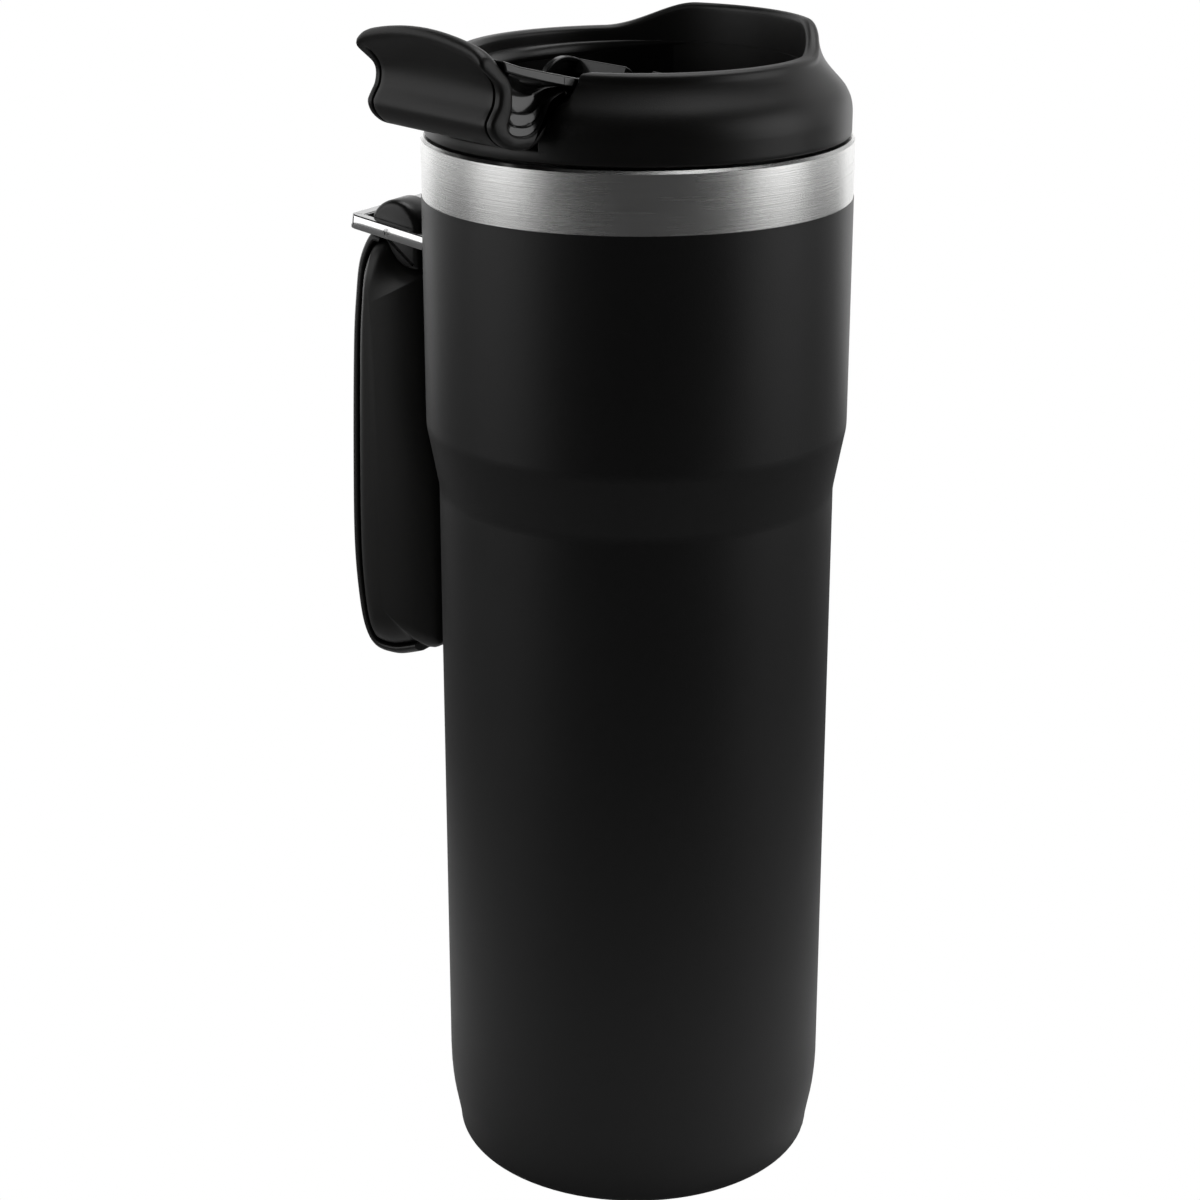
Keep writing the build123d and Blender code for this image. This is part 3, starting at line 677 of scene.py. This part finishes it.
# Pocket in each end of the lever: upper edge, lower edge, and depth at each share of the way down.
POCKET_TOP = [(42.6, 16.4), (40.0, 15.6), (35.4, 14.35), (31.5, 13.3), (29.5, 12.8)]
POCKET_LOW = [(42.0, 12.0), (42.3, 9.2), (42.8, 7.8), (42.2, 6.6), (40.6, 5.95), (38.5, 5.95), (36.9, 6.8),
              (35.8, 8.2), (35.2, 9.9), (34.2, 11.3), (32.6, 12.1), (29.5, 12.7)]
POCKET_DEPTHS = [(0.0, 0.3), (0.06, 0.45), (0.10, 0.8), (0.14, 1.4), (0.18, 2.1), (0.23, 2.7), (0.30, 3.0),
                 (0.38, 3.0), (0.50, 2.6), (0.60, 2.25), (0.62, 2.1), (0.635, 1.75), (0.65, 1.65),
                 (0.74, 1.5), (0.82, 1.35), (0.84, 1.2), (0.86, 1.0), (0.885, 0.9), (0.95, 0.8), (1.0, 0.7)]
POCKET_BACK = 2.0        # distance from the middle to the block's hidden inner end


def skin_section(x):
    """Section at x, its flange lifted towards the middle of the lever."""
    lift = FLANGE_ARCH * (1 - (x / LEVER_HALF) ** 2)
    end = max(0.0, (abs(x) - FLANGE_DROP_FROM) / (LEVER_HALF - FLANGE_DROP_FROM))
    rise = lift - FLANGE_DROP * end ** 3
    loop = smooth_line(SKIN_OUT, 72) + smooth_line(SKIN_IN, 44)
    return [(y, z + rise * ease((z - 11.0) / 8.5)) for y, z in loop]


def skin_ring(x, depth):
    """Section at x, drawn in by a depth."""
    full = skin_section(x)
    drawn = inset_loop(full, depth)
    if GROOVE[0] < abs(x) < GROOVE[1]:
        start, end = GROOVE_FADES
        keeps = [1 - ease((z - start) / (end - start)) for y, z in full]
        drawn = [blend(a, b, keep) for a, b, keep in zip(full, drawn, keeps)]
    return [side_point(x, y, z) for y, z in drawn]


def lever_skin():
    rows = [(-x, depth) for x, depth in SKIN_STEPS] + [(x, depth) for x, depth in reversed(SKIN_STEPS)]
    shape = strips([skin_ring(x, depth) for x, depth in rows])
    piece("lever_skin", shape, "lever", "matte_black", "lever_shell", sharp=55)


def lever_inside():
    """Gloss moulding under the skin: head, plate, arm with its hub, and cam."""
    arm = arc(HUB_Y, HUB_H, 2.2, 60, 290, 30)
    arm += [(HUB_Y + 3.2, HUB_H - 0.9), (10.6, 6.9), (10.6, 9.45), (HUB_Y + 5.0, HUB_H + 2.45),
            (HUB_Y + 2.6, HUB_H + 1.95)]
    cam = arc(HUB_Y - 1.6, HUB_H, 2.4, 0, 352, 46)
    extruded("lever_head", HEAD, LEVER_HALF - 0.05, "lever", "gloss_black", "lever_frame", bevel=0.35)
    extruded("lever_plate", PLATE, ARM_HALF, "lever", "gloss_black", bevel=0.35)
    extruded("lever_arm", arm, ARM_HALF, "lever", "gloss_black")
    extruded("lever_cam", cam, 3.0, "lever", "gloss_black", bevel=0.2)


def pocket(name, side):
    """Block that fills the end of the lever behind the curl, with the pocket sunk into its outer face."""
    edges = list(zip(smooth_line(POCKET_TOP, 40), smooth_line(POCKET_LOW, 40)))
    front = []
    for share, depth in POCKET_DEPTHS:
        front.append([side_point(side * (LEVER_HALF - depth), *blend(a, b, share)) for a, b in edges])
    back = [[Vector((side * POCKET_BACK, p.y, p.z)) for p in row] for row in reversed(front)]
    rows = front + back
    points, faces = strips(rows, closed_ring=False, closed_row=True, caps=False)
    count = len(edges)
    faces.append(tuple(i * count for i in range(len(rows))))
    faces.append(tuple(i * count + count - 1 for i in reversed(range(len(rows)))))
    piece(name, (points, faces), "lever", "gloss_black", sharp=30)


lever_skin()
lever_inside()
pocket("lever_pocket_near", -1)
pocket("lever_pocket_far", 1)


# =============== Grip ===============

# Side outline as distances out from the mug's axis and heights, from the inner top corner outward and round.
GRIP_CURVE = [(40.6, -30.6), (41.3, -28.9), (42.8, -28.6), (44.7, -28.2), (46.5, -27.2), (47.8, -25.6),
              (48.7, -23.9), (49.9, -22.8), (51.6, -22.1), (53.6, -22.4), (55.3, -24.7), (56.8, -28.6),
              (57.7, -34.5), (58.6, -44), (59.5, -64), (60.0, -84), (59.3, -96), (57.9, -103.2),
              (55.2, -106.8), (50.5, -107.5), (46.0, -106.4), (42.0, -104.8), (39.2, -103.2), (38.5, -100),
              (38.4, -86), (38.5, -71), (39.6, -62), (40.5, -53), (40.5, -42)]
GRIP_POINTS = 260
GRIP_WAIST = -60         # height that parts the upper half from the lower one
CROWN_X = 52.3           # middle line that the crowned sides rise to
CROWN_Z = -65.0
CROWN_REACH = 43.0       # half height of the grip, and below it the half height of the middle line
CROWN_HALF = 31.0

# Each side as rings: inset on the outer curve, inset on the face by the cup, share of the way to the middle
# line, and distance from the middle plane.
GRIP_STEPS = [(2.25, 0.0, 0.0, 0.12), (2.25, 0.0, 0.0, 7.0), (2.27, 0.05, 0.0, 7.9), (2.35, 0.3, 0.01, 8.8),
              (2.5, 0.6, 0.05, 9.6), (2.7, 0.8, 0.13, 10.4), (2.85, 0.9, 0.25, 11.05), (2.95, 1.0, 0.4, 11.5),
              (3.0, 1.0, 0.56, 11.8), (3.0, 1.0, 0.72, 11.94), (3.0, 1.0, 0.88, 12.0)]

# Half section of the band: share of the way through its thickness, and distance from the middle plane.
BAND_HALF = [(1.0, 8.6), (0.95, 9.15), (0.8, 9.35), (0.5, 9.2), (0.25, 8.8), (0.08, 8.1), (0.0, 7.2),
             (0.0, 2.4)]
BAND_THICK = 1.95
BAND_FROM = 50.4         # the band runs outside this distance in the upper half, and the next in the lower
BAND_FROM_LOW = 44.5

grip_base = smooth_line(GRIP_CURVE, GRIP_POINTS, closed=True)


def grip_ring(outside, inside, crown=0.0):
    """Side outline drawn in by one depth outside and another by the cup, then closed on the middle line."""
    depths = []
    for x, z in grip_base:
        outer = ease((x - 47.5) / 5) if z > GRIP_WAIST else ease((x - 41.0) / 3.5)
        depths.append(outside * outer + inside * (1 - outer))
    ring = []
    for x, z in inset_loop(grip_base, depths):
        u = min(max((z - CROWN_Z) / CROWN_REACH, -1.0), 1.0)
        middle = (CROWN_X, CROWN_Z + CROWN_HALF * (1.5 * u - 0.5 * u ** 3))
        ring.append(blend((x, z), middle, crown))
    return ring


def grip_side(word, side):
    rings = []
    for outside, inside, crown, w in GRIP_STEPS:
        rings.append([handle_point(x, z, side * w) for x, z in grip_ring(outside, inside, crown)])
    piece("grip_side_" + word, strips(rings), "handle", "grip_black", "grip_shell_" + word, sharp=60)


def grip_band():
    """Band along the outer edge of the grip."""
    section = BAND_HALF + [(share, -w) for share, w in reversed(BAND_HALF)]
    rows = []
    for a, b in zip(grip_ring(0.0, 0.0), grip_ring(BAND_THICK, BAND_THICK)):
        if a[0] >= (BAND_FROM if a[1] > GRIP_WAIST else BAND_FROM_LOW):
            rows.append([handle_point(*blend(a, b, share), w) for share, w in section])
    piece("grip_band", strips(rows), "handle", "grip_band", "grip_spine", sharp=60)


grip_side("right", -1)
grip_side("left", 1)
grip_band()


# =============== Bail and knuckles ===============

TILT = math.radians(9)
BAIL_HALF = 13.5
BAIL_OUT = 9.0
BAIL_IN = 8.2            # how far the arms run from the pin towards the cup
BAR_WIDE = 2.3
BAR_TALL = 2.7
BAR_ROUND = 0.35
CORNER = 0.5

KNUCKLE_R = 5.6
TONGUE = [(40.9, -27.4), (41.4, -28.0), (42.8, -28.05), (44.5, -27.65), (46.1, -26.75), (47.3, -25.25),
          (48.2, -23.5), (49.4, -22.35), (51.0, -22.2), (51.9, -20.9)]
TONGUE_STEPS = [(4.4, 0.5), (4.55, 0.15), (4.9, 0.0), (9.9, 0.0), (10.5, 0.12), (10.9, 0.4), (11.15, 0.8),
                (11.25, 1.3)]
CORE = [(42.2, -26), (51.6, -26), (54.5, -33), (54.5, -100), (50, -104), (42.0, -102)]
CORE_HALF = 5


def bail_point(along, across, lift):
    """Point on the tilted bail, counted from the pin."""
    out = PIN_OUT + along * math.cos(TILT) - lift * math.sin(TILT)
    return handle_point(out, PIN_H + along * math.sin(TILT) + lift * math.cos(TILT), across)


def bail_path():
    """Middle line of the bar with its outward direction: one arm, the outer bar, and the other arm."""
    side = BAIL_HALF - BAR_WIDE / 2
    out = BAIL_OUT - BAR_WIDE / 2
    bend = out - CORNER
    arm = [-BAIL_IN + (bend + BAIL_IN) * i / 10 for i in range(10)]
    path = [((along, -side), (0, -1)) for along in arm]
    for hand, start in ((-1, -90), (1, 0)):
        for i in range(5):
            t = math.radians(start + 90 * i / 4)
            centre = hand * (side - CORNER)
            path.append(((bend + CORNER * math.cos(t), centre + CORNER * math.sin(t)),
                         (math.cos(t), math.sin(t))))
        if hand < 0:
            path += [((out, (side - CORNER) * (i / 10 - 1)), (1, 0)) for i in range(1, 20)]
    return path + [((along, side), (0, 1)) for along in reversed(arm)]


def bail():
    section = []
    for right, up, start in ((1, 1, 0), (-1, 1, 90), (-1, -1, 180), (1, -1, 270)):
        section += arc(right * (BAR_WIDE / 2 - BAR_ROUND), up * (BAR_TALL / 2 - BAR_ROUND), BAR_ROUND,
                       start, start + 90, 5)
    rings = []
    for (along, across), (a, w) in bail_path():
        rings.append([bail_point(along + a * u, across + w * u, lift) for u, lift in section])
    piece("bail", strips(rings), "handle", "chrome", "handle_ring", sharp=35)


def grip_knuckles():
    """Two round knuckles with their tongues on the grip's sides, and the core that joins them inside."""
    outline = TONGUE + arc(PIN_OUT, PIN_H, KNUCKLE_R, 2, 176, 40)
    parts = []
    for side in (-1, 1):
        parts.append(strips([[handle_point(x, z, side * w) for x, z in inset_loop(outline, depth)]
                             for w, depth in TONGUE_STEPS]))
    parts.append(strips([[handle_point(x, z, w) for x, z in CORE] for w in (-CORE_HALF, CORE_HALF)]))
    piece("grip_knuckles", join(*parts), "handle", "satin_black", "grip_core", sharp=50)


bail()
grip_knuckles()
